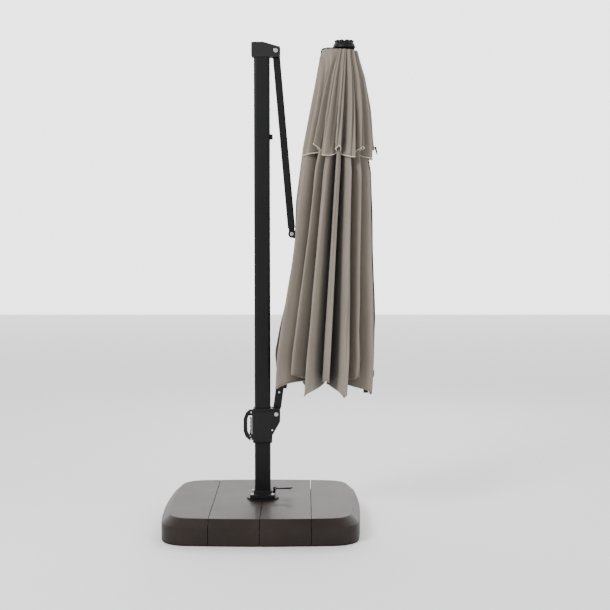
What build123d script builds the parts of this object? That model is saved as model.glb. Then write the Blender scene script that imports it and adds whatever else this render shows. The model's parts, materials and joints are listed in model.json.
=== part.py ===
from build123d import *
import math
import os

os.makedirs("parts", exist_ok=True)

# Cantilever parasol, closed, in millimetres.
# Origin: on the mast's axis, at the underside of the base. +Z up, +X from the mast to the canopy.

# ---- Driving dimensions ----
base_side = 985.0
base_bow = 26.0         # how far each side swells past its corners
base_corner = 130.0
tray_thick = 6.0
skirt_top = 88.0
base_top = 124.0
base_chamfer = 38.0
cover_wall = 4.0
seam_gap = 3.0
seam_x = 245.0

mast_w = 80.0
mast_d = 60.0
mast_wall = 2.5
mast_corner = 14.0
flange_low = 135.0
flange_top = 150.0
mast_top = 2352.0

link = 912.0            # strut pivot to lug bolt, and lug bolt to slider pin
rest_angle = 5.0        # of the strut from upright, folded
pivot_x = 70.0          # both fixed lines of the linkage stand this far from the mast's axis
pivot_z = 2377.0
lug_offset = 41.0       # from the lug bolt to the boom's centreline
boom_reach = 1830.0
boom_w = 40.0
boom_d = 30.0
strut_w = 37.0
strut_d = 25.0
tube_wall = 2.0
pin_r = 6.0
run_fit = 0.05

hub_x = 410.0
hub_z = 2374.0
canopy_lean = 3.2
rib_count = 8
rib_first = 22.5
slot_half = 36.0
shell_thick = 8.0
vent_end = -494.0

# ---- The linkage at rest ----
lean = math.radians(rest_angle)
A = Vector(pivot_x, 0, pivot_z)
B = A + Vector(math.sin(lean), 0, -math.cos(lean)) * link
P = B + Vector(-math.sin(lean), 0, -math.cos(lean)) * link
boom_lean = lean + math.asin(lug_offset / link)
boom_dir = Vector(math.sin(boom_lean), 0, math.cos(boom_lean))
Q = P + boom_dir * boom_reach
strut_dir = (B - A).normalized()
made = []


def save(part, name):
    """Label a finished piece and write it as its own STEP file."""
    part.label = name
    export_step(part, f"parts/{name}.step")
    made.append(name)


def looking(point, direction):
    """A plane at a point, with its normal along a direction and its x axis along Y."""
    return Plane(origin=point, x_dir=(0, 1, 0), z_dir=direction)


def side_plane(x, z):
    """A plane facing the front (-Y) at a point of the linkage, with x across and y up."""
    return Plane(origin=(x, 0, z), x_dir=(1, 0, 0), z_dir=(0, -1, 0))


def hollow_bar(start, end, depth, width, wall, radius):
    """A straight rectangular tube between two points; depth lies along Y."""
    run = end - start
    with BuildPart() as bar:
        with BuildSketch(looking(start, run.normalized())):
            RectangleRounded(depth, width, radius)
            RectangleRounded(depth - 2 * wall, width - 2 * wall, radius - wall / 2, mode=Mode.SUBTRACT)
        extrude(amount=run.length)
    return bar.part


def cross_pin(x, z, half, radius, head_r, head):
    """A bolt along Y with a head at both ends."""
    with BuildPart() as pin:
        with BuildSketch(side_plane(x, z)):
            Circle(radius)
        extrude(amount=half, both=True)
        for side in (-1, 1):
            with BuildSketch(Plane(origin=(x, side * half, z), x_dir=(1, 0, 0), z_dir=(0, side, 0))):
                Circle(head_r)
            extrude(amount=head)
        fillet(pin.edges().group_by(Axis.Y)[0], head * 0.4)
        fillet(pin.edges().group_by(Axis.Y)[-1], head * 0.4)
    return pin.part


# ---- Base ----
def bowed_square(side, corner):
    """A square with rounded corners whose sides swell outwards; side is measured at their middles."""
    reach = side / 2
    square = reach - base_bow
    with BuildSketch() as outline:
        with BuildLine():
            ThreePointArc((-square, -square), (0, -reach), (square, -square))
            ThreePointArc((square, -square), (reach, 0), (square, square))
            ThreePointArc((square, square), (0, reach), (-square, square))
            ThreePointArc((-square, square), (-reach, 0), (-square, -square))
        make_face()
        fillet(outline.vertices(), corner)
    return outline.sketch


with BuildPart() as base_tray:
    with BuildSketch():
        add(bowed_square(base_side - 4, base_corner - 2))
    extrude(amount=tray_thick)
save(base_tray.part, "base_tray")

frame_high = 50.0
with BuildPart() as cross_frame:
    with BuildSketch(Plane.XY.offset(tray_thick)):
        Rectangle(880, 60)
        Rectangle(60, 880)
        Circle(95)
    extrude(amount=frame_high)
    with Locations((0, 0, tray_thick + frame_high)):
        with PolarLocations(65, 4, 45):
            Hole(5.05, depth=30)
save(cross_frame.part, "cross_frame")

slab = 355.0
slab_high = 76.0
slab_apart = 120.0
with BuildPart() as ballast_slabs:
    with BuildSketch(Plane.XY.offset(tray_thick)):
        with GridLocations(slab + slab_apart, slab + slab_apart, 2, 2):
            RectangleRounded(slab, slab, 60)
    extrude(amount=slab_high)
    fillet(ballast_slabs.edges().group_by(Axis.Z)[-1], 8)
save(ballast_slabs.part, "ballast_slabs")

column_r = 80.0
spigot_r = 25.0
washer_thick = 3.0
column_top = flange_low - washer_thick
lock_x = 53.0
lock_y = 30.0
lock_stops = 12
lock_radius = math.hypot(lock_x, lock_y)
lock_turn = math.degrees(math.atan2(lock_y, lock_x))
with BuildPart() as base_column:
    with BuildSketch(Plane.XY.offset(tray_thick + frame_high)):
        Circle(column_r)
    extrude(amount=column_top - tray_thick - frame_high)
    with Locations((0, 0, column_top)):
        Hole(spigot_r + run_fit)
        with PolarLocations(lock_radius, lock_stops, lock_turn):
            Hole(5.5, depth=12)
        with PolarLocations(65, 4, 45):
            CounterBoreHole(5.05, 9, 40)
save(base_column.part, "base_column")

with BuildPart() as column_bolts:
    bolt_seat = column_top - 40
    with PolarLocations(65, 4, 45):
        with Locations((0, 0, bolt_seat)):
            Cylinder(8, 6, align=(Align.CENTER, Align.CENTER, Align.MIN))
        with Locations((0, 0, bolt_seat - 62)):
            Cylinder(5, 62, align=(Align.CENTER, Align.CENTER, Align.MIN))
save(column_bolts.part, "column_bolts")

with BuildPart() as swivel_spigot:
    with BuildSketch(Plane.XY.offset(tray_thick + frame_high)):
        Circle(spigot_r)
    extrude(amount=260)
    chamfer(swivel_spigot.edges().group_by(Axis.Z)[-1], 4)
save(swivel_spigot.part, "swivel_spigot")

with BuildPart() as swivel_washer:
    with BuildSketch(Plane.XY.offset(column_top)):
        Circle(48)
        Circle(spigot_r + 1, mode=Mode.SUBTRACT)
    extrude(amount=washer_thick)
save(swivel_washer.part, "swivel_washer")


def cover_shape(shrink, low):
    """The base's outer shape, drawn in by a wall's thickness."""
    side = base_side - 2 * shrink
    with BuildPart() as shape:
        with BuildSketch(Plane.XY.offset(low)):
            add(bowed_square(side, base_corner - shrink))
        extrude(amount=skirt_top - low)
        with BuildSketch(Plane.XY.offset(skirt_top)):
            add(bowed_square(side, base_corner - shrink))
        with BuildSketch(Plane.XY.offset(base_top - shrink)):
            add(bowed_square(side - 2 * base_chamfer, base_corner - shrink - base_chamfer * 0.5))
        loft(ruled=True)
    return shape.part


with BuildPart() as cover_shell:
    add(cover_shape(0, tray_thick))
    fillet(cover_shell.edges().group_by(Axis.Z)[-1], 7)
    add(cover_shape(cover_wall, tray_thick), mode=Mode.SUBTRACT)
    with Locations((0, 0, base_top)):
        Hole(column_r + 2)

half_gap = seam_gap / 2
cover_spans = {
    "cover_left": (-base_side, -seam_x - half_gap),
    "cover_centre_left": (-seam_x + half_gap, -half_gap),
    "cover_centre_right": (half_gap, seam_x - half_gap),
    "cover_right": (seam_x + half_gap, base_side),
}
for cover_name, (low_x, high_x) in cover_spans.items():
    with BuildPart() as cover:
        add(cover_shell.part)
        with Locations(((low_x + high_x) / 2, 0, 0)):
            Box(high_x - low_x, 2 * base_side, 2 * base_side, mode=Mode.INTERSECT)
    save(cover.part, cover_name)

# ---- Mast ----
flange_side = 128.0
with BuildPart() as mast_flange:
    with BuildSketch(Plane.XY.offset(flange_low)):
        RectangleRounded(flange_side, flange_side, 22)
        Circle(spigot_r + run_fit, mode=Mode.SUBTRACT)
        with Locations((lock_x, lock_y)):
            Circle(5 + run_fit, mode=Mode.SUBTRACT)
    extrude(amount=flange_top - flange_low)
    with Locations((0, 0, flange_top)):
        with Locations((-50, -50), (50, -50), (-50, 50)):
            Hole(4.05, depth=12)
save(mast_flange.part, "mast_flange")

with BuildPart() as mast_tube:
    with BuildSketch(Plane.XY.offset(flange_top)):
        RectangleRounded(mast_w, mast_d, mast_corner)
        inner = mast_corner - mast_wall
        RectangleRounded(mast_w - 2 * mast_wall, mast_d - 2 * mast_wall, inner, mode=Mode.SUBTRACT)
    extrude(amount=mast_top - flange_top)
save(mast_tube.part, "mast_tube")

with BuildPart() as mast_collar:
    with BuildSketch(Plane.XY.offset(flange_top)):
        RectangleRounded(mast_w + 13, mast_d + 13, mast_corner + 6)
        RectangleRounded(mast_w + 0.4, mast_d + 0.4, mast_corner, mode=Mode.SUBTRACT)
    extrude(amount=16)
    chamfer(mast_collar.edges().group_by(Axis.Z)[-1], 2)
save(mast_collar.part, "mast_collar")

with BuildPart() as flange_bolts:
    with Locations((-50, -50), (50, -50), (-50, 50)):
        with Locations((0, 0, flange_top)):
            Cylinder(7.5, 6, align=(Align.CENTER, Align.CENTER, Align.MIN))
        with Locations((0, 0, flange_top - 10)):
            Cylinder(4, 10, align=(Align.CENTER, Align.CENTER, Align.MIN))
    fillet(flange_bolts.edges().group_by(Axis.Z)[-1], 2)
save(flange_bolts.part, "flange_bolts")

cap_low = 2347.0
cap_top = 2420.0
cap_half = 34.0
with BuildPart() as mast_cap:
    with BuildSketch(side_plane(0, 0)):
        with BuildLine():
            Polyline((-52, cap_low), (-52, cap_top), (8, cap_top), (92, cap_top - 24),
                     (92, cap_low + 8), (84, cap_low), (-52, cap_low))
        make_face()
    extrude(amount=cap_half, both=True)
    fillet(mast_cap.edges().filter_by(Axis.Y), 7)
    with BuildSketch(Plane.XY.offset(cap_low)):
        RectangleRounded(mast_w + 0.4, mast_d + 0.4, mast_corner)
    extrude(amount=mast_top - cap_low, mode=Mode.SUBTRACT)
    with Locations((93, 0, cap_low + 30)):
        Box(93 - 46, 2 * 13.2, 100, align=(Align.MAX, Align.CENTER, Align.CENTER), mode=Mode.SUBTRACT)
    with BuildSketch(side_plane(A.X, A.Z)):
        Circle(pin_r + run_fit)
    extrude(amount=cap_half, both=True, mode=Mode.SUBTRACT)
    with Locations((-4, 0, cap_top)):
        Hole(4.05, depth=16)
save(mast_cap.part, "mast_cap")

with BuildPart() as cap_screw:
    with Locations((-4, 0, cap_top)):
        Cylinder(8, 4, align=(Align.CENTER, Align.CENTER, Align.MIN))
    with Locations((-4, 0, cap_top - 14)):
        Cylinder(4, 14, align=(Align.CENTER, Align.CENTER, Align.MIN))
    fillet(cap_screw.edges().group_by(Axis.Z)[-1], 1.8)
save(cap_screw.part, "cap_screw")

save(cross_pin(A.X, A.Z, cap_half, pin_r, 11, 5), "strut_pivot_bolt")

stop_low = 1940.0
with BuildPart() as stop_block:
    with Locations((mast_w / 2, 0, stop_low)):
        Box(14, 24, 26, align=(Align.MIN, Align.CENTER, Align.MIN))
    fillet(stop_block.edges().group_by(Axis.X)[-1], 3)
save(stop_block.part, "stop_block")

# ---- Foot lock: bracket and pin on the mast, pedal and lock pin moving ----
pedal_x = 63.0
pedal_z = 168.0
with BuildPart() as pedal_bracket:
    for ear_y in (lock_y - 13, lock_y + 9.5):
        with BuildSketch(Plane(origin=(pedal_x - 5, ear_y, pedal_z), x_dir=(1, 0, 0), z_dir=(0, -1, 0))):
            with Locations((0, -9)):
                Rectangle(12, 18)
            with Locations((5, 0)):
                Circle(8)
                Circle(3 + run_fit, mode=Mode.SUBTRACT)
        extrude(amount=-3.5)
save(pedal_bracket.part, "pedal_bracket")

with BuildPart() as pedal_pin:
    with BuildSketch(Plane(origin=(pedal_x, lock_y, pedal_z), x_dir=(1, 0, 0), z_dir=(0, -1, 0))):
        Circle(3)
    extrude(amount=15, both=True)
save(pedal_pin.part, "pedal_pin")

with BuildPart() as foot_pedal:
    with BuildSketch(Plane(origin=(pedal_x, lock_y, pedal_z), x_dir=(1, 0, 0), z_dir=(0, -1, 0))):
        Circle(7)
        with Locations((40, 0)):
            Rectangle(80, 7)
        with Locations((-6, 3.5)):
            Rectangle(12, 6)
        Circle(3 + run_fit, mode=Mode.SUBTRACT)
    extrude(amount=8, both=True)
    with Locations((pedal_x + 72, lock_y, pedal_z + 3.5)):
        Box(36, 46, 5, align=(Align.CENTER, Align.CENTER, Align.MIN))
    fillet(foot_pedal.edges().filter_by(Axis.Z).group_by(Axis.X)[-1], 10)
save(foot_pedal.part, "foot_pedal")

with BuildPart() as lock_pin:
    with Locations((lock_x, lock_y, column_top - 3)):
        Cylinder(5, 29, align=(Align.CENTER, Align.CENTER, Align.MIN))
save(lock_pin.part, "lock_pin")


# ---- Strut ----
def eye(point, direction, radius, depth, width, bore, reach):
    """A round eye with a neck that reaches the end of its tube."""
    with BuildPart() as piece:
        with BuildSketch(side_plane(point.X, point.Z)):
            Circle(radius)
        extrude(amount=depth / 2, both=True)
        with BuildSketch(looking(point, direction)):
            Rectangle(depth, width)
        extrude(amount=reach)
        with BuildSketch(side_plane(point.X, point.Z)):
            Circle(bore)
        extrude(amount=depth, both=True, mode=Mode.SUBTRACT)
    return piece.part


bush_r = 9.0
eye_reach = 30.0
save(hollow_bar(A + strut_dir * eye_reach, B - strut_dir * eye_reach, strut_d, strut_w, tube_wall, 5),
     "strut_tube")
save(eye(A, strut_dir, 18.5, strut_d, 30, bush_r + run_fit, eye_reach), "strut_upper_eye")
save(eye(B, strut_dir * -1, 19.5, strut_d, 30, bush_r + run_fit, eye_reach), "strut_lower_eye")

with BuildPart() as strut_bushes:
    for centre in (A, B):
        with BuildSketch(side_plane(centre.X, centre.Z)):
            Circle(bush_r)
            Circle(pin_r + run_fit, mode=Mode.SUBTRACT)
        extrude(amount=strut_d / 2, both=True)
save(strut_bushes.part, "strut_bushes")

# ---- Boom ----
boom_neck = 30.0
save(hollow_bar(P + boom_dir * boom_neck, Q - boom_dir * boom_neck, boom_d, boom_w, tube_wall, 6),
     "boom_tube")
save(eye(P, boom_dir, 18, boom_d, 34, pin_r + run_fit, boom_neck), "boom_lower_eye")
save(eye(Q, boom_dir * -1, 18, boom_d, 34, pin_r + run_fit, boom_neck), "boom_upper_eye")

lug_plate = 5.0
plate_in = boom_d / 2
boom_side = Vector(math.cos(boom_lean), 0, -math.sin(boom_lean))
with BuildPart() as boom_lug:
    for side in (-1, 1):
        with BuildSketch(Plane(origin=(B.X, side * plate_in, B.Z), x_dir=boom_side, z_dir=(0, side, 0))):
            Circle(19.5)
            with Locations((lug_offset / 2, 0)):
                Rectangle(lug_offset, 39)
            with Locations((lug_offset, 0)):
                Rectangle(26, 90)
            Circle(pin_r + run_fit, mode=Mode.SUBTRACT)
        extrude(amount=lug_plate)
save(boom_lug.part, "boom_lug")
save(cross_pin(B.X, B.Z, plate_in + lug_plate, pin_r, 10, 5), "lug_bolt")

boom_face = boom_d / 2
with BuildPart() as boom_screws:
    for along in (110, 1700):
        spot = P + boom_dir * along
        with BuildSketch(Plane(origin=(spot.X, -boom_face, spot.Z), x_dir=(1, 0, 0), z_dir=(0, -1, 0))):
            Circle(5)
        extrude(amount=3)
save(boom_screws.part, "boom_screws")

# ---- Slider and handle ----
slide_low = 413.0
slide_high = 589.0
slide_half = 42.0
passage_x = 43.0
passage_y = 33.0
shell_left = -48.0
for side, shell_name in ((-1, "slider_front_shell"), (1, "slider_back_shell")):
    with BuildPart() as slider_shell:
        with BuildSketch(Plane(origin=(0, side * 0.2, 0), x_dir=(1, 0, 0), z_dir=(0, -1, 0))):
            with BuildLine():
                Polyline((shell_left, slide_low), (48, slide_low), (50, 452), (89, 520),
                         (89, slide_high - 8), (82, slide_high), (shell_left, slide_high),
                         (shell_left, slide_low))
            make_face()
        extrude(amount=-side * (slide_half - 0.2))
        outer_face = slider_shell.faces().sort_by(Axis.Y)[0 if side < 0 else -1]
        fillet(outer_face.edges(), 6)
        with Locations((0, 0, slide_low)):
            Box(2 * passage_x, 2 * passage_y, 400, mode=Mode.SUBTRACT)
        with Locations((46, 0, P.Z - 26)):
            Box(80, 2 * (boom_d / 2 + 1.2), 100, align=(Align.MIN, Align.CENTER, Align.MIN),
                 mode=Mode.SUBTRACT)
        with BuildSketch(side_plane(P.X, P.Z)):
            Circle(pin_r + run_fit)
        extrude(amount=slide_half, both=True, mode=Mode.SUBTRACT)
    save(slider_shell.part, shell_name)

with BuildPart() as slide_liners:
    for liner_z in (slide_low + 3, slide_high - 33):
        with BuildSketch(Plane.XY.offset(liner_z)):
            Rectangle(2 * passage_x, 2 * passage_y)
            RectangleRounded(mast_w + 0.6, mast_d + 0.6, mast_corner, mode=Mode.SUBTRACT)
        extrude(amount=30)
save(slide_liners.part, "slide_liners")

save(cross_pin(P.X, P.Z, slide_half, pin_r, 10, 4), "slider_pivot_pin")

grip_half = 14.0
grip_outer = -97.0
grip_bar = -79.0
with BuildPart() as grip:
    with BuildSketch(side_plane(0, 0)):
        with BuildLine():
            Polyline((shell_left, 423), (-66, 423), (-86, 440), (grip_outer, 470), (grip_outer, 532),
                     (-86, 562), (-66, 579), (shell_left, 579), (shell_left, 423))
        make_face()
        with BuildLine():
            Polyline((-54, 452), (-70, 452), (grip_bar, 474), (grip_bar, 528), (-70, 550), (-54,
                 550), (-54, 452))
        make_face(mode=Mode.SUBTRACT)
    extrude(amount=grip_half, both=True)
    fillet(grip.edges().filter_by(Axis.Y).filter_by(lambda edge: edge.center().X < -75), 6)
    with BuildSketch(side_plane(-62, 445)):
        Circle(3 + run_fit)
    extrude(amount=grip_half, both=True, mode=Mode.SUBTRACT)
    with Locations((-62, 0, 446)):
        Box(16.4, 12, 26, mode=Mode.SUBTRACT)
save(grip.part, "grip")

with BuildPart() as grip_trigger:
    with BuildSketch(side_plane(0, 0)):
        with Locations((-62, 445)):
            Circle(6)
        with BuildLine():
            Polyline((-67, 445), (-64, 470), (-64, 540), (-56, 540), (-56, 470), (-57, 445), (-67, 445))
        make_face()
        with Locations(*[(-66, z) for z in (484, 504, 524)]):
            Circle(5, mode=Mode.SUBTRACT)
        with Locations((-62, 445)):
            Circle(3 + run_fit, mode=Mode.SUBTRACT)
    extrude(amount=5.6, both=True)
save(grip_trigger.part, "grip_trigger")

with BuildPart() as trigger_pin:
    with BuildSketch(side_plane(-62, 445)):
        Circle(3)
    extrude(amount=grip_half, both=True)
save(trigger_pin.part, "trigger_pin")

with BuildPart() as shell_screws:
    for screw_x, screw_z, face_y in ((-58, 566, grip_half), (-58, 430, grip_half), (50, 480, slide_half)):
        for side in (-1, 1):
            with BuildSketch(Plane(origin=(screw_x, side * face_y, screw_z), x_dir=(1, 0, 0),
                 z_dir=(0, side, 0))):
                Circle(4.5)
            extrude(amount=2.5)
save(shell_screws.part, "shell_screws")

# ---- Canopy head ----
cheek_in = boom_d / 2 + 0.4
cheek_out = 22.0
with BuildPart() as head_bracket:
    with BuildSketch(side_plane(Q.X, Q.Z)):
        Circle(17)
        with Locations((30, 2)):
            Rectangle(60, 30)
        with Locations((80, 15.5)):
            Rectangle(140, 9)
    extrude(amount=cheek_out, both=True)
    with Locations((Q.X + 23, 0, Q.Z)):
        Box(60, 2 * cheek_in, 60, align=(Align.MAX, Align.CENTER, Align.CENTER), mode=Mode.SUBTRACT)
    with BuildSketch(side_plane(Q.X, Q.Z)):
        Circle(pin_r + run_fit)
    extrude(amount=cheek_out, both=True, mode=Mode.SUBTRACT)
save(head_bracket.part, "head_bracket")
save(cross_pin(Q.X, Q.Z, cheek_out, pin_r, 9, 3), "head_pivot_pin")

tilt = math.radians(canopy_lean)
down = Vector(-math.sin(tilt), 0, -math.cos(tilt))
across = Vector(math.cos(tilt), 0, -math.sin(tilt))
hub_top = Q.Z + 11.0
hub_low = hub_top - 34.0
hub_r = 36.0
with BuildPart() as hub:
    with BuildSketch(Plane(origin=(hub_x, 0, hub_low))):
        Circle(hub_r)
        Circle(14.05, mode=Mode.SUBTRACT)
    extrude(amount=hub_top - hub_low)
save(hub.part, "hub")

with BuildPart() as centre_post:
    with BuildSketch(Plane(origin=(hub_x, 0, hub_low - 130))):
        Circle(14)
        Circle(11.5, mode=Mode.SUBTRACT)
    extrude(amount=hub_top - hub_low + 130)
save(centre_post.part, "centre_post")

cap_seat = hub_top + 9.0
with BuildPart() as top_cap:
    with BuildSketch(Plane(origin=(hub_x, 0, 0), x_dir=(1, 0, 0), z_dir=(0, -1, 0))):
        with BuildLine():
            Polyline((0, cap_seat), (56, cap_seat), (56, cap_seat + 8), (50, cap_seat + 20),
                     (38, cap_seat + 32), (28, cap_seat + 34), (20, cap_seat + 26), (0, cap_seat + 24),
                     (0, cap_seat))
        make_face()
    revolve(axis=Axis((hub_x, 0, 0), (0, 0, 1)))
save(top_cap.part, "top_cap")

# Half-widths of the folded cloth along X, by distance below the hub.
cloth_profile = ((-26, 62), (-120, 95), (-270, 128), (-480, 163), (-745, 184), (-1000, 202),
                 (-1250, 224), (-1500, 251), (-1704, 246))
depth_share = 0.92


def half_width(level):
    """The folded cloth's half-width at a distance below the hub."""
    for (high, wide_high), (low, wide_low) in zip(cloth_profile, cloth_profile[1:]):
        if level >= low:
            share = (high - level) / (high - low)
            return wide_high + (wide_low - wide_high) * share
    return cloth_profile[-1][1]


def on_head(level, reach=0.0, angle=0.0, inset=0.0):
    """A point of the folded canopy: below the hub, at a share of its half-width."""
    wide = half_width(level) - inset
    turn = math.radians(angle)
    centre = Vector(hub_x, 0, hub_z) + down * -level
    return centre + across * (wide * reach * math.cos(turn)) + Vector(0,
         wide * depth_share * reach * math.sin(turn), 0)


def cloth_solid(levels, inset):
    """A solid lofted through the cloth's oval sections."""
    with BuildPart() as solid:
        for level in levels:
            centre = Vector(hub_x, 0, hub_z) + down * -level
            wide = half_width(level) - inset
            with BuildSketch(Plane(origin=centre, x_dir=across, z_dir=down * -1)):
                Ellipse(wide, wide * depth_share)
        loft(ruled=True)
    return solid.part


def cloth_shell(levels, name):
    """A thin closed shell, open below and along the slot that the boom hangs in."""
    with BuildPart() as shell:
        add(cloth_solid(levels, 0))
        add(cloth_solid(levels, shell_thick), mode=Mode.SUBTRACT)
        with Locations(Plane(origin=(hub_x, 0, hub_z), x_dir=across, z_dir=down * -1)):
            Box(600, 2 * slot_half, 4000, align=(Align.MAX, Align.CENTER, Align.CENTER), mode=Mode.SUBTRACT)
    save(shell.part, name)


breaks = [level for level, wide in cloth_profile]
cloth_shell([level for level in breaks if level > vent_end] + [vent_end + 1], "vent_canopy")
cloth_shell([vent_end - 1] + [level for level in breaks if level < vent_end], "main_canopy")

rib_start = -60.0
rib_end = -1690.0
rib_w = 10.0
rib_share = 0.9         # of the cloth's half-width, at the rib's tip
rib_h = 16.0
joint_level = -820.0
runner_level = -1480.0
cap_long = 24.0
rib_ends = []
stretcher_runs = []
for index in range(rib_count):
    angle = rib_first + index * 360 / rib_count
    turn = math.radians(angle)
    radial = across * math.cos(turn) + Vector(0, math.sin(turn), 0)
    top = Vector(hub_x, 0, hub_z) + down * -rib_start + radial * 26
    tip = on_head(rib_end, rib_share, angle)
    run = tip - top
    with BuildPart() as rib:
        with BuildSketch(Plane(origin=top, x_dir=radial, z_dir=run.normalized())):
            Rectangle(rib_h, rib_w)
            Rectangle(rib_h - 2.4, rib_w - 2.4, mode=Mode.SUBTRACT)
        extrude(amount=run.length - cap_long)
    save(rib.part, f"rib_{index + 1}")
    rib_ends.append((tip - run.normalized() * cap_long, radial, run.normalized()))
    share = (joint_level - rib_start) / (rib_end - rib_start)
    joint_point = top + run * share - radial * 16
    runner_point = Vector(hub_x, 0, hub_z) + down * -runner_level + radial * 48
    stretcher_runs.append((joint_point, runner_point, radial))

with BuildPart() as rib_end_caps:
    for start, radial, direction in rib_ends:
        with BuildSketch(Plane(origin=start, x_dir=radial, z_dir=direction)):
            Rectangle(rib_h + 4, rib_w + 4)
        extrude(amount=cap_long)
save(rib_end_caps.part, "rib_end_caps")

with BuildPart() as stretchers:
    for joint_point, runner_point, radial in stretcher_runs:
        run = runner_point - joint_point
        with BuildSketch(Plane(origin=joint_point, x_dir=radial, z_dir=run.normalized())):
            Rectangle(9, 9)
        extrude(amount=run.length)
save(stretchers.part, "stretchers")

with BuildPart() as runner:
    with BuildSketch(Plane(origin=Vector(hub_x, 0, hub_z) + down * -(runner_level + 20),
         x_dir=across, z_dir=down)):
        Circle(40)
        Circle(17, mode=Mode.SUBTRACT)
    extrude(amount=34)
save(runner.part, "runner")

print(len(made), "nodes")
print("A", A, "B", B, "P", P, "Q", Q)
print("boom lean", math.degrees(boom_lean))
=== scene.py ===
# %% [markdown]
# # A folded cantilever parasol
# The imported model gives every rigid part at its true place. This script adds what a maker would look
# at last: the pleated cloth, the piping on its edge, the lips and ridges of the moulded handle, and a
# finish for every piece. First the model is loaded.

# %% Load the imported model
import json
import math

import bpy
import bmesh
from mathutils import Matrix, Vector, noise


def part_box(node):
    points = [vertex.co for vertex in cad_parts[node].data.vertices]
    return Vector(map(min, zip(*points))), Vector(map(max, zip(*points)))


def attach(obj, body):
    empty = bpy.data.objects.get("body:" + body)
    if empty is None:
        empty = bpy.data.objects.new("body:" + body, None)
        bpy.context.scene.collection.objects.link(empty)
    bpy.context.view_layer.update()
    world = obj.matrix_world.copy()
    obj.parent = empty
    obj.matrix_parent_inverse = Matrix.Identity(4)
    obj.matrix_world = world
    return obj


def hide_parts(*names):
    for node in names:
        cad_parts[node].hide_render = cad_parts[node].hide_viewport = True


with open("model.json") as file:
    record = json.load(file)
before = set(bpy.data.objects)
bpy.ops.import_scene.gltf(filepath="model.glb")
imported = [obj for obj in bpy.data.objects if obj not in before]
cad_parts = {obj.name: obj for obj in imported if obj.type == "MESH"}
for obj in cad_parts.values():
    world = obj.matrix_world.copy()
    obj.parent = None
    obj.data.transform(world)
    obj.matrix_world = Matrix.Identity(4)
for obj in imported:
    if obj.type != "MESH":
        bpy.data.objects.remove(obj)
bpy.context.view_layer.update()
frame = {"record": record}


# %% [markdown]
# ## Camera, floor and light
# A parasol is tall, so the camera stands well back with a longish lens, which keeps the upright mast
# straight. The floor is plain and pale. Large area lights give the soft shade that shows folds.

# %% Camera
eye_height = 1.54
eye_back = 6.3
eye_side = 0.215
look_down = math.radians(3.9)
camera_data = bpy.data.cameras.new("camera")
camera = bpy.data.objects.new("camera", camera_data)
bpy.context.collection.objects.link(camera)
camera.location = (eye_side, -eye_back, eye_height)
camera.rotation_euler = (math.radians(90) - look_down, 0, 0)
camera_data.lens = 73.8
camera_data.sensor_width = 36
bpy.context.scene.camera = camera
print("camera at", tuple(round(v, 2) for v in camera.location))

# %% Floor
bpy.ops.object.select_all(action="DESELECT")
bpy.ops.mesh.primitive_plane_add(size=60, location=(0, 0, -0.001))
floor = bpy.context.object
floor.name = "floor"

# %% Backdrop
# A pale sheet of light far behind keeps the dark frame's outline crisp.
bpy.ops.object.select_all(action="DESELECT")
bpy.ops.mesh.primitive_plane_add(size=40, location=(0, 14, 5), rotation=(math.radians(90), 0, 0))
backdrop = bpy.context.object
backdrop.name = "backdrop"
bpy.ops.object.transform_apply(location=True, rotation=True, scale=True)
backdrop_finish = bpy.data.materials.new("backdrop")
backdrop_finish.use_nodes = True
backdrop_shader = backdrop_finish.node_tree.nodes["Principled BSDF"]
backdrop_shader.inputs["Base Color"].default_value = (0, 0, 0, 1)
backdrop_shader.inputs["Emission Color"].default_value = (1, 1, 1, 1)
backdrop_shader.inputs["Emission Strength"].default_value = 3.2
backdrop.data.materials.append(backdrop_finish)

# %% Lights
world = bpy.data.worlds.new("soft_sky")
bpy.context.scene.world = world
world.use_nodes = True
world.node_tree.nodes["Background"].inputs["Color"].default_value = (0.97, 0.98, 1.0, 1)
world.node_tree.nodes["Background"].inputs["Strength"].default_value = 0.6


def soft_light(name, place, aim, size, power):
    """A large square lamp that faces a point."""
    data = bpy.data.lights.new(name, "AREA")
    data.size = size
    data.energy = power
    lamp = bpy.data.objects.new(name, data)
    bpy.context.collection.objects.link(lamp)
    lamp.location = place
    lamp.rotation_euler = (Vector(aim) - Vector(place)).to_track_quat("-Z", "Y").to_euler()


soft_light("key", (-2.6, -3.6, 4.2), (0.2, 0, 1.2), 1.6, 260)
soft_light("fill", (4.2, -2.5, 2.6), (0.2, 0, 1.0), 2.5, 60)
soft_light("rim", (1.0, 3.5, 3.5), (0.2, 0, 1.4), 2.5, 80)


# %% [markdown]
# ## A short way to write shader maths
# A shader is a web of small nodes. One class wraps a socket and gives it plus, minus and times, so a
# mask reads like arithmetic. Every other node comes from one method that sets its settings first.

# %% Shader helpers
class Finish:
    """A material, with one method that makes any node."""

    def __init__(self, name):
        self.material = bpy.data.materials.new(name)
        self.material.use_nodes = True
        self.tree = self.material.node_tree
        self.shader = self.tree.nodes["Principled BSDF"]

    def node(self, kind, settings=None, out=0, **sockets):
        made = self.tree.nodes.new(kind)
        for key, value in (settings or {}).items():
            setattr(made, key, value)
        for key, value in sockets.items():
            socket = made.inputs[int(key[1:])] if key[1:].isdigit() else made.inputs[key.replace("_", " ")]
            self.feed(socket, value)
        return Wire(self, made.outputs[out])

    def feed(self, socket, value):
        if isinstance(value, Wire):
            self.tree.links.new(value.socket, socket)
        else:
            socket.default_value = value

    def set(self, **sockets):
        for key, value in sockets.items():
            self.feed(self.shader.inputs[key.replace("_", " ")], value)
        return self


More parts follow.
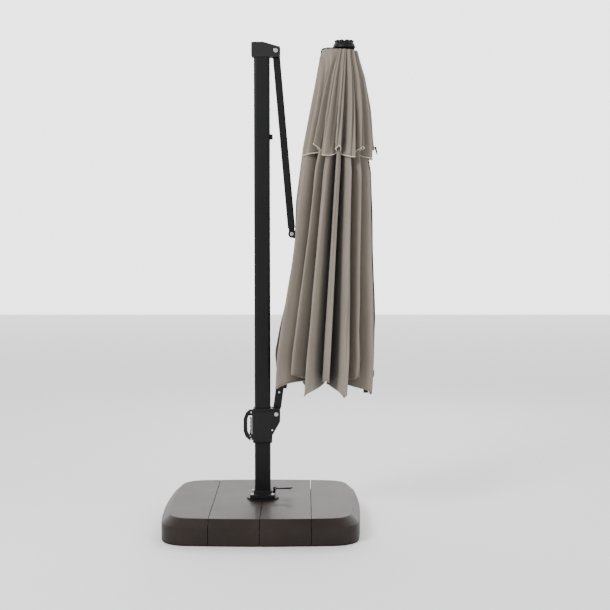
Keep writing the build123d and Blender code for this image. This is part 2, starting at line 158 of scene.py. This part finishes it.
class Wire:
    """A socket that takes part in arithmetic."""

    def __init__(self, finish, socket):
        self.finish = finish
        self.socket = socket

    def math(self, operation, a, b):
        return self.finish.node("ShaderNodeMath", {"operation": operation}, i0=a, i1=b)

    def __add__(self, other):
        return self.math("ADD", self, other)

    def __sub__(self, other):
        return self.math("SUBTRACT", self, other)

    def __mul__(self, other):
        return self.math("MULTIPLY", self, other)

    __radd__ = __add__

    def __rsub__(self, other):
        return self.math("SUBTRACT", other, self)


def place(finish, source="Object"):
    """The point's own coordinates, from the object or its UV map."""
    outs = {"Object": 3, "UV": 2}
    return finish.node("ShaderNodeTexCoord", out=outs[source])


def blotch(finish, where, scale, detail=3.0):
    """Soft noise between 0 and 1."""
    return finish.node("ShaderNodeTexNoise", Vector=where, Scale=scale, Detail=detail)


def blend_colours(finish, share, first, second):
    """A colour between two, by a share."""
    return finish.node("ShaderNodeMix", {"data_type": "RGBA"}, out=2,
                       i0=share, i6=(*first, 1), i7=(*second, 1))


def bump(finish, height, strength, distance):
    """A normal that leans with a height."""
    return finish.node("ShaderNodeBump", Height=height, Strength=strength, Distance=distance)


# %% [markdown]
# ## Metal and plastic
# The frame is powder-coated aluminium: nearly black, with a fine orange-peel skin. Moulded plastic is
# a little more matt and grained. The base is a brown plastic with a low, uneven gloss.

# %% Finishes for hard parts
def coated(name, dark, light, rough, grain, lift, metal=0.0, coat=0.0, specular=0.5):
    """A painted or moulded skin: two close colours, uneven gloss and a fine grain."""
    finish = Finish(name)
    where = place(finish)
    cloud = blotch(finish, where, 7.0)
    fine = blotch(finish, where, grain, 2.0)
    finish.set(Base_Color=blend_colours(finish, cloud, dark, light),
               Roughness=rough - 0.06 + cloud * 0.12 + fine * 0.05,
               Normal=bump(finish, fine, lift, 0.0006),
               Metallic=metal)
    finish.shader.inputs["Specular IOR Level"].default_value = specular
    if coat:
        finish.set(Coat_Weight=coat)
    return finish.material


finishes = {
    "black_frame": coated("black_frame", (0.0028, 0.0028, 0.0034), (0.006, 0.006, 0.0066), 0.44, 900, 0.22,
                          specular=0.22),
    "dark_casting": coated("dark_casting", (0.004, 0.004, 0.0045), (0.010, 0.0095, 0.010), 0.5, 600, 0.4,
                           specular=0.3),
    "galvanised": coated("galvanised", (0.22, 0.23, 0.24), (0.38, 0.39, 0.4), 0.45, 60, 0.2, metal=0.8),
    "bolt_steel": coated("bolt_steel", (0.5, 0.5, 0.51), (0.66, 0.66, 0.65), 0.32, 400, 0.2, metal=1.0),
    "black_plastic": coated("black_plastic", (0.0035, 0.0035, 0.004), (0.008, 0.008, 0.0086),
                            0.46, 1200, 0.35, specular=0.25),
    "liner_plastic": coated("liner_plastic", (0.4, 0.4, 0.37), (0.5, 0.5, 0.47), 0.5, 700, 0.15),
    "base_plastic": coated("base_plastic", (0.013, 0.0085, 0.0068), (0.030, 0.021, 0.0175), 0.5, 320, 0.5,
                           coat=0.06, specular=0.16),
    "ballast": coated("ballast", (0.3, 0.29, 0.28), (0.48, 0.47, 0.45), 0.85, 90, 0.8),
    "piping": coated("piping", (0.56, 0.5, 0.42), (0.7, 0.64, 0.55), 0.8, 1500, 0.5),
    "floor": coated("floor", (0.90, 0.90, 0.90), (0.93, 0.93, 0.93), 0.8, 40, 0.02),
}
floor.data.materials.append(finishes["floor"])

for part in frame["record"]["subparts"]:
    node = bpy.data.objects.get(part["node"])
    finish = finishes.get(part["material_slot"])
    if node and finish:
        node.data.materials.clear()
        node.data.materials.append(finish)
print(len(finishes), "finishes for hard parts")

# %% [markdown]
# ## Cloth finish
# The canopy is a woven polyester in taupe. The weave runs with the cloth, so it follows the piece's
# own UV map, which is laid out in metres. Faint streaks are the cloth's own tone; paler ridges are a painted
# highlight and darker valleys a painted shade.

# %% Cloth
def cloth_finish(name, shade, mid, light):
    """Woven taupe: two sets of threads, streaks down the gore, painted highlight on the ridges and painted
    shade in the valleys.
    """
    finish = Finish(name)
    where = place(finish, "UV")
    around = finish.node("ShaderNodeSeparateXYZ", i0=where)
    down_it = finish.node("ShaderNodeSeparateXYZ", out=1, i0=where)
    warp = finish.node("ShaderNodeMath", {"operation": "SINE"}, i0=around * 2600.0)
    weft = finish.node("ShaderNodeMath", {"operation": "SINE"}, i0=down_it * 2600.0)
    stretched = finish.node("ShaderNodeMapping", i0=where, Scale=(14, 1.2, 1))
    streak = blotch(finish, stretched, 2.2, 4.0)
    cloud = blotch(finish, place(finish), 5.0, 4.0)
    # fold is each point's valley depth; below it becomes painted shade in the valleys and painted highlight
    # on the ridges.
    fold = finish.node("ShaderNodeAttribute", {"attribute_name": "fold"}, out=2)
    # Streaks and cloud are the cloth's own tone; the (1 - fold) share is a painted highlight on the ridges.
    streaks_and_ridge_highlight = finish.node("ShaderNodeClamp", i0=streak * 0.55 + cloud * 0.45 + (1 - fold) * 0.35 - 0.22)
    pale = blend_colours(finish, streaks_and_ridge_highlight, mid, light)
    # depth is the share of painted shade: the valleys are mixed towards the near-black shade colour.
    depth = finish.node("ShaderNodeClamp", i0=fold * 1.35 - 0.35)
    tint = finish.node("ShaderNodeMix", {"data_type": "RGBA"}, out=2, i0=depth, i6=pale, i7=(*shade, 1))
    weave = warp * weft * 0.5 + streak * 0.8
    finish.set(Base_Color=tint, Roughness=0.86 + cloud * 0.08, Normal=bump(finish, weave, 0.35, 0.0008))
    finish.shader.inputs["Sheen Weight"].default_value = 0.25
    finish.shader.inputs["Sheen Roughness"].default_value = 0.5
    return finish.material


# The first colour is the painted shade for the pleat valleys; the last is the paler tone that also serves as
# the painted highlight on ridges.
cloth = cloth_finish("canopy_cloth", (0.022, 0.016, 0.011), (0.155, 0.128, 0.100), (0.285, 0.245, 0.198))
print("cloth finish made")

# %% [markdown]
# ## The pleated canopy
# Folded, each gore hangs between two ribs as a deep double pleat: a ridge over every rib, a lower
# ridge between, and a valley each side. One continuous sheet goes from the edge of the boom's slot
# right round to the other edge, so it is one grid of points whose distance from the middle swells and
# sinks. The cloth is gathered and hangs by its own weight, so given waves serve better than a
# simulation, and come out the same on every run.

# %% The cloth's place, from the model
hub_low, hub_high = (Vector(corner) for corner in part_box("hub"))
hub_middle = (hub_low + hub_high) / 2
below_hub_top = 0.011
head_top = hub_high.z - below_hub_top
canopy_lean = math.radians(3.2)
down = Vector((-math.sin(canopy_lean), 0, -math.cos(canopy_lean)))
across = Vector((math.cos(canopy_lean), 0, -math.sin(canopy_lean)))
head_point = Vector((hub_middle.x, 0, head_top))
slot_half = 0.037
depth_share = 0.92
rib_count = 8
rib_first = math.radians(22.5)
cloth_thick = 0.0012
columns = 400
print("hub at", tuple(round(v, 3) for v in head_point))

# %% The folded outline
# Each pair is a distance below the hub and the folded canopy's half-width there.
outline = ((-0.010, 0.054), (0.026, 0.064), (0.120, 0.098), (0.270, 0.131), (0.480, 0.164),
           (0.745, 0.187), (1.000, 0.208), (1.250, 0.232), (1.500, 0.254), (1.720, 0.256))


def half_width(drop):
    """The outline's half-width at a distance below the hub, eased between its points."""
    for (high, wide_high), (low, wide_low) in zip(outline, outline[1:]):
        if drop <= low:
            share = max(0.0, (drop - high) / (low - high))
            return wide_high + (wide_low - wide_high) * share
    return outline[-1][1]


# Where the cloth's edge reaches on the mast's side, by height: it covers the boom and clears the strut.
slot_edge = ((2.42, 0.350), (2.36, 0.292), (2.20, 0.262), (1.90, 0.205), (1.63, 0.170), (1.45, 0.165),
             (1.30, 0.150), (1.13, 0.118), (1.00, 0.088), (0.86, 0.062), (0.60, 0.062))


def edge_reach(height):
    """The edge's X at a height, eased between its points."""
    for (high, x_high), (low, x_low) in zip(slot_edge, slot_edge[1:]):
        if height >= low:
            share = max(0.0, (high - height) / (high - low))
            return x_high + (x_low - x_high) * share
    return slot_edge[-1][1]


def rib_wave(turn):
    """0 on a rib and 1 midway between two ribs."""
    return 0.5 - 0.5 * math.cos(rib_count * (turn - rib_first))


def pleat_wave(turn):
    """0 on each ridge and 1 in each valley, two pleats to a gore."""
    return 0.5 - 0.5 * math.cos(2 * rib_count * (turn - rib_first))


def gore_chance(turn, seed):
    """A slow random value between -1 and 1 that differs from fold to fold."""
    return noise.noise(Vector((math.cos(turn) * 2.1 + seed, math.sin(turn) * 2.1, seed * 3.7))) * 1.6


crease_deep = 0.0118
crease_count = 46       # small creases in a full turn
ripple_deep = 0.006
gather_most = 0.86      # a valley never sinks past this share of the half-width
lower_ridge = 0.10      # how much the ridges between ribs stand back
tuck_turn = 0.075       # how far a valley leans to one side, in radians
flap_turn = 0.42        # how far round the plain flap beside the slot reaches
under_share = 0.14      # how far down its length a sheet stays drawn in under another


def cloth_sheet(name, top, hem, depth, rows, bulge, seed, under=0.0):
    """One sheet of cloth round the head. hem gives each fold's own length, and depth its pleats'."""
    grid = bmesh.new()
    points = []
    folds = []
    hem_edge = math.pi - math.asin(slot_half / ((half_width(hem(0)) + bulge) * depth_share))
    for row in range(rows + 1):
        share = row / rows
        line = []
        for column in range(columns + 1):
            side = 2 * column / columns - 1
            drop = top + (hem(side * hem_edge) - top) * share
            wide = half_width(drop) + bulge - under * max(0.0, 1 - share / under_share)
            edge = math.pi - math.asin(min(0.85, slot_half / (wide * depth_share)))
            turn = side * edge
            sink = pleat_wave(turn) ** 1.35
            gather = min(gather_most, depth(share) * (1 + 0.28 * gore_chance(turn, seed + 5)))
            wander = 0.03 * share * gore_chance(turn, seed) + 0.012 * share * math.sin(3.1 * share + 5 * turn)
            near_slot = max(0.0, (abs(turn) - edge + flap_turn) / flap_turn)
            lower = lower_ridge * depth(share) * rib_wave(turn) * (1 - sink) * (1 - near_slot)
            reach = 1 - gather * sink * (1 - near_slot) - lower
            crease_wave = math.sin(crease_count * turn + 3 * share)
            crease = crease_deep * min(1.0, 0.35 + share) * crease_wave * (1 - 0.6 * sink)
            ripple = ripple_deep * noise.noise(Vector((turn * 4, drop * 5, seed)))
            tuck_side = 1 if gore_chance(turn, seed + 9) > 0 else -1
            tuck = tuck_turn * sink * share * tuck_side * (1 - near_slot)
            fan = turn + wander * (1 - near_slot) + tuck
            radius = wide * reach + crease + ripple * share
            spot = head_point + down * drop + across * (radius * math.cos(fan))
            spot.y += radius * depth_share * math.sin(fan)
            spot.x += (edge_reach(spot.z) - spot.x) * near_slot ** 1.5
            spot.y *= 1 + 0.5 * near_slot * (1 - near_slot)
            if abs(spot.y) < slot_half and spot.x < head_point.x - drop * math.sin(canopy_lean):
                spot.y = math.copysign(slot_half, side)
            line.append(grid.verts.new(spot))
            # The valley depth at each point, stored as the fold attribute, drives the cloth finish's painted
            # shade and painted highlight.
            folds.append(min(1.0, gather * sink * 1.6))
        points.append(line)
    uv = grid.loops.layers.uv.new("cloth")
    for row in range(rows):
        for column in range(columns):
            face = grid.faces.new((points[row][column], points[row + 1][column],
                                   points[row + 1][column + 1], points[row][column + 1]))
            face.smooth = True
            corners = ((row, column), (row + 1, column), (row + 1, column + 1), (row, column + 1))
            for loop, (r, c) in zip(face.loops, corners):
                loop[uv].uv = (c / columns * 4.0, r / rows * 1.5)
    area = sum(face.calc_area() for face in grid.faces)
    hem_line = [vert.co.copy() for vert in points[-1]]
    ridge_line = [line[columns // 2].co.copy() for line in points]
    mesh = bpy.data.meshes.new(name)
    grid.to_mesh(mesh)
    grid.free()
    shade = mesh.attributes.new("fold", "FLOAT", "POINT")
    shade.data.foreach_set("value", folds)
    piece = bpy.data.objects.new(name, mesh)
    bpy.context.collection.objects.link(piece)
    bpy.ops.object.select_all(action="DESELECT")
    bpy.context.view_layer.objects.active = piece
    piece.select_set(True)
    wall = piece.modifiers.new("wall", "SOLIDIFY")
    wall.thickness = cloth_thick
    wall.offset = 0
    bpy.ops.object.modifier_apply(modifier="wall")
    mesh.materials.append(cloth)
    print(name, "area", round(area, 2), "m2,", len(mesh.polygons), "faces")
    return piece, hem_line, ridge_line, area


# %% [markdown]
# The lower sheet's edge comes to a point at each rib. Beside the slot the edge climbs where
# the flap lies over the boom. The upper sheet ends in soft scallops, with a notch midway.

# %% Lower sheet
vent_drop = 0.492
vent_lap = 0.07         # how far the lower sheet starts above the upper sheet's hem
hem_drop = 1.712
flap_start = 2.84       # past the last rib, where the flap's edge climbs to the slot


def main_hem(turn):
    """Pointed tips at the ribs, each a little different, and a climbing edge beside the slot."""
    from_rib = abs((rib_count * (turn - rib_first) / math.pi) % 2 - 1)
    rise = 0.105 * (1 - from_rib) ** 0.8
    short = 0.15 * max(0.0, min(1.0, (abs(turn) - flap_start) / 0.14))
    return hem_drop - rise - short + 0.018 * gore_chance(turn, 2.0)


def main_depth(share):
    return 0.56 + 0.28 * min(1.0, share * 2.2)


main_sheet, main_edge, main_ridge, main_area = cloth_sheet(
    "canopy_lower_sheet", vent_drop - vent_lap, main_hem, main_depth,
    rows=76, bulge=-0.004, seed=1.3, under=0.028)
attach(main_sheet, "head")
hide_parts("main_canopy")

# %% Upper sheet
def vent_hem(turn):
    """Rounded scallops at the ribs and a notch between them."""
    rise = 0.055 * (1 - abs(math.cos(rib_count / 2 * (turn - rib_first))))
    return vent_drop + 0.03 - rise + 0.008 * gore_chance(turn, 4.0)


def vent_depth(share):
    return 0.16 + 0.2 * share


vent_sheet, vent_edge, vent_ridge, vent_area = cloth_sheet(
    "canopy_upper_sheet", -0.008, vent_hem, vent_depth,
    rows=44, bulge=0.010, seed=6.1)
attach(vent_sheet, "head")
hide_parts("vent_canopy")


# %% [markdown]
# A bound edge keeps cloth from fraying. On the upper sheet it is pale piping, and on the lower one a
# narrow roll of the same cloth. Both follow the sheet's own last row, as a tube.

# %% Bound edges
def bound_edge(name, line, radius, finish, body="head"):
    """A thin tube along a line of points, made a mesh."""
    curve = bpy.data.curves.new(name, "CURVE")
    curve.dimensions = "3D"
    curve.bevel_depth = radius
    curve.bevel_resolution = 2
    curve.use_fill_caps = True
    spline = curve.splines.new("POLY")
    spline.points.add(len(line) - 1)
    for point, spot in zip(spline.points, line):
        point.co = (*spot, 1)
    draft = bpy.data.objects.new(name + "_draft", curve)
    bpy.context.collection.objects.link(draft)
    mesh = bpy.data.meshes.new_from_object(draft)
    bpy.data.objects.remove(draft)
    mesh.name = name
    mesh.materials.clear()
    mesh.materials.append(finish)
    mesh.shade_smooth()
    piece = bpy.data.objects.new(name, mesh)
    bpy.context.collection.objects.link(piece)
    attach(piece, body)
    return piece


vent_piping = bound_edge("vent_piping", vent_edge, 0.0026, finishes["piping"])
main_binding = bound_edge("main_binding", main_edge, 0.0022, cloth)

# %% [markdown]
# One ridge on the side away from the mast shows a black line from under the upper sheet to the hem.
# It is made as a thin black tube along the ridge, with a black cap at its foot. Another cap stands by
# the upper sheet's tip on the same side.

# %% Black ridge tape and its caps
outward = 0.005
hidden_rows = 6         # rows of the lower sheet that the upper one covers
tape_path = [spot + across * outward for spot in main_ridge[hidden_rows:]]
bound_edge("ridge_tape", tape_path, 0.0042, finishes["black_plastic"])


def pointed_cap(name, tip, width, height, lean):
    """A small bevelled block that tapers to its lower end."""
    bpy.ops.object.select_all(action="DESELECT")
    bpy.ops.mesh.primitive_cube_add(size=1, location=tip, scale=(width, width * 0.8, height))
    cap = bpy.context.object
    cap.name = name
    bpy.ops.object.transform_apply(location=True, rotation=True, scale=True)
    bpy.ops.object.mode_set(mode="EDIT")
    bpy.ops.mesh.select_all(action="DESELECT")
    shape = bmesh.from_edit_mesh(cap.data)
    shape.faces.ensure_lookup_table()
    for face in shape.faces:
        face.select_set(face.normal.z < -0.5)
    bmesh.update_edit_mesh(cap.data)
    bpy.ops.transform.resize(value=(0.4, 0.4, 1))
    bpy.ops.transform.translate(value=(lean, 0, 0))
    bpy.ops.mesh.select_all(action="SELECT")
    bpy.ops.mesh.bevel(offset=width * 0.14, segments=3)
    bpy.ops.mesh.normals_make_consistent(inside=False)
    bpy.ops.object.mode_set(mode="OBJECT")
    cap.data.shade_smooth()
    cap.data.materials.append(finishes["black_plastic"])
    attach(cap, "head")


pointed_cap("ridge_cap", tape_path[-1] + Vector((0.001, 0, -0.006)), 0.020, 0.036, 0.004)
pointed_cap("vent_tip_cap", vent_ridge[-1] + across * 0.014 + Vector((0, 0, -0.012)), 0.012, 0.040, 0.010)
print("ridge tape of", len(tape_path), "points")

# %% [markdown]
# ## Handle and cap details
# The slider's shells close under a raised lip, and the grip has finger ridges inside its bar. The
# cap over the hub has a crown of small lugs. Each is a block with bevelled edges.

# %% Rounded blocks
def rounded_block(name, centre, size, bevel, body, slot_name, turn=0.0, about=None):
    """A block with bevelled edges, turned about an upright line if asked."""
    bpy.ops.object.select_all(action="DESELECT")
    bpy.ops.mesh.primitive_cube_add(size=1, location=centre, scale=size)
    block = bpy.context.object
    block.name = name
    bpy.ops.object.transform_apply(location=True, rotation=True, scale=True)
    bpy.ops.object.mode_set(mode="EDIT")
    bpy.ops.mesh.select_all(action="SELECT")
    bpy.ops.mesh.bevel(offset=bevel, segments=4)
    bpy.ops.mesh.normals_make_consistent(inside=False)
    bpy.ops.object.mode_set(mode="OBJECT")
    block.data.shade_smooth()
    if turn:
        for vert in block.data.vertices:
            arm = vert.co - about
            across_x = arm.x * math.cos(turn) - arm.y * math.sin(turn)
            across_y = arm.x * math.sin(turn) + arm.y * math.cos(turn)
            vert.co = about + Vector((across_x, across_y, arm.z))
    block.data.materials.append(finishes[slot_name])
    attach(block, body)


# %% Crown on the top cap
cap_low, cap_high = (Vector(corner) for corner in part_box("top_cap"))
cap_middle = Vector(((cap_low.x + cap_high.x) / 2, 0, 0))
cap_radius = (cap_high.x - cap_low.x) / 2
lug_count = 10
for index in range(lug_count):
    spot = Vector((cap_middle.x + cap_radius * 0.66, 0, cap_high.z - 0.004))
    rounded_block(f"cap_lug_{index + 1}", spot, (0.022, 0.014, 0.014), 0.004, "head", "black_plastic",
                  turn=index * 2 * math.pi / lug_count, about=cap_middle)

# %% Lip round the slider's top
front_low, front_high = (Vector(corner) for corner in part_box("slider_front_shell"))
lip_high = 0.007
lip_wide = front_high.x - front_low.x + 0.004
for side, lip_name in ((-1, "slider_front_lip"), (1, "slider_back_lip")):
    middle = Vector(((front_low.x + front_high.x) / 2 - 0.002, side * (abs(front_low.y) - 0.001),
                     front_high.z - 0.012))
    rounded_block(lip_name, middle, (lip_wide - 0.010, 0.008, lip_high), 0.003, "slider", "black_plastic")

# %% Finger ridges inside the grip's bar
grip_low, grip_high = (Vector(corner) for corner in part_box("grip"))
bar_inner = grip_low.x + 0.018
for index in range(4):
    height = (grip_low.z + grip_high.z) / 2 - 0.0225 + index * 0.015
    rounded_block(f"finger_ridge_{index + 1}", Vector((bar_inner, 0, height)), (0.005, 0.022, 0.005), 0.002,
                  "slider", "black_plastic")
print("crown, lips and finger ridges made")

# %% The cloth's folded areas
print("folded areas:", round(main_area, 2), round(vent_area, 2))

# %% End
print("done")
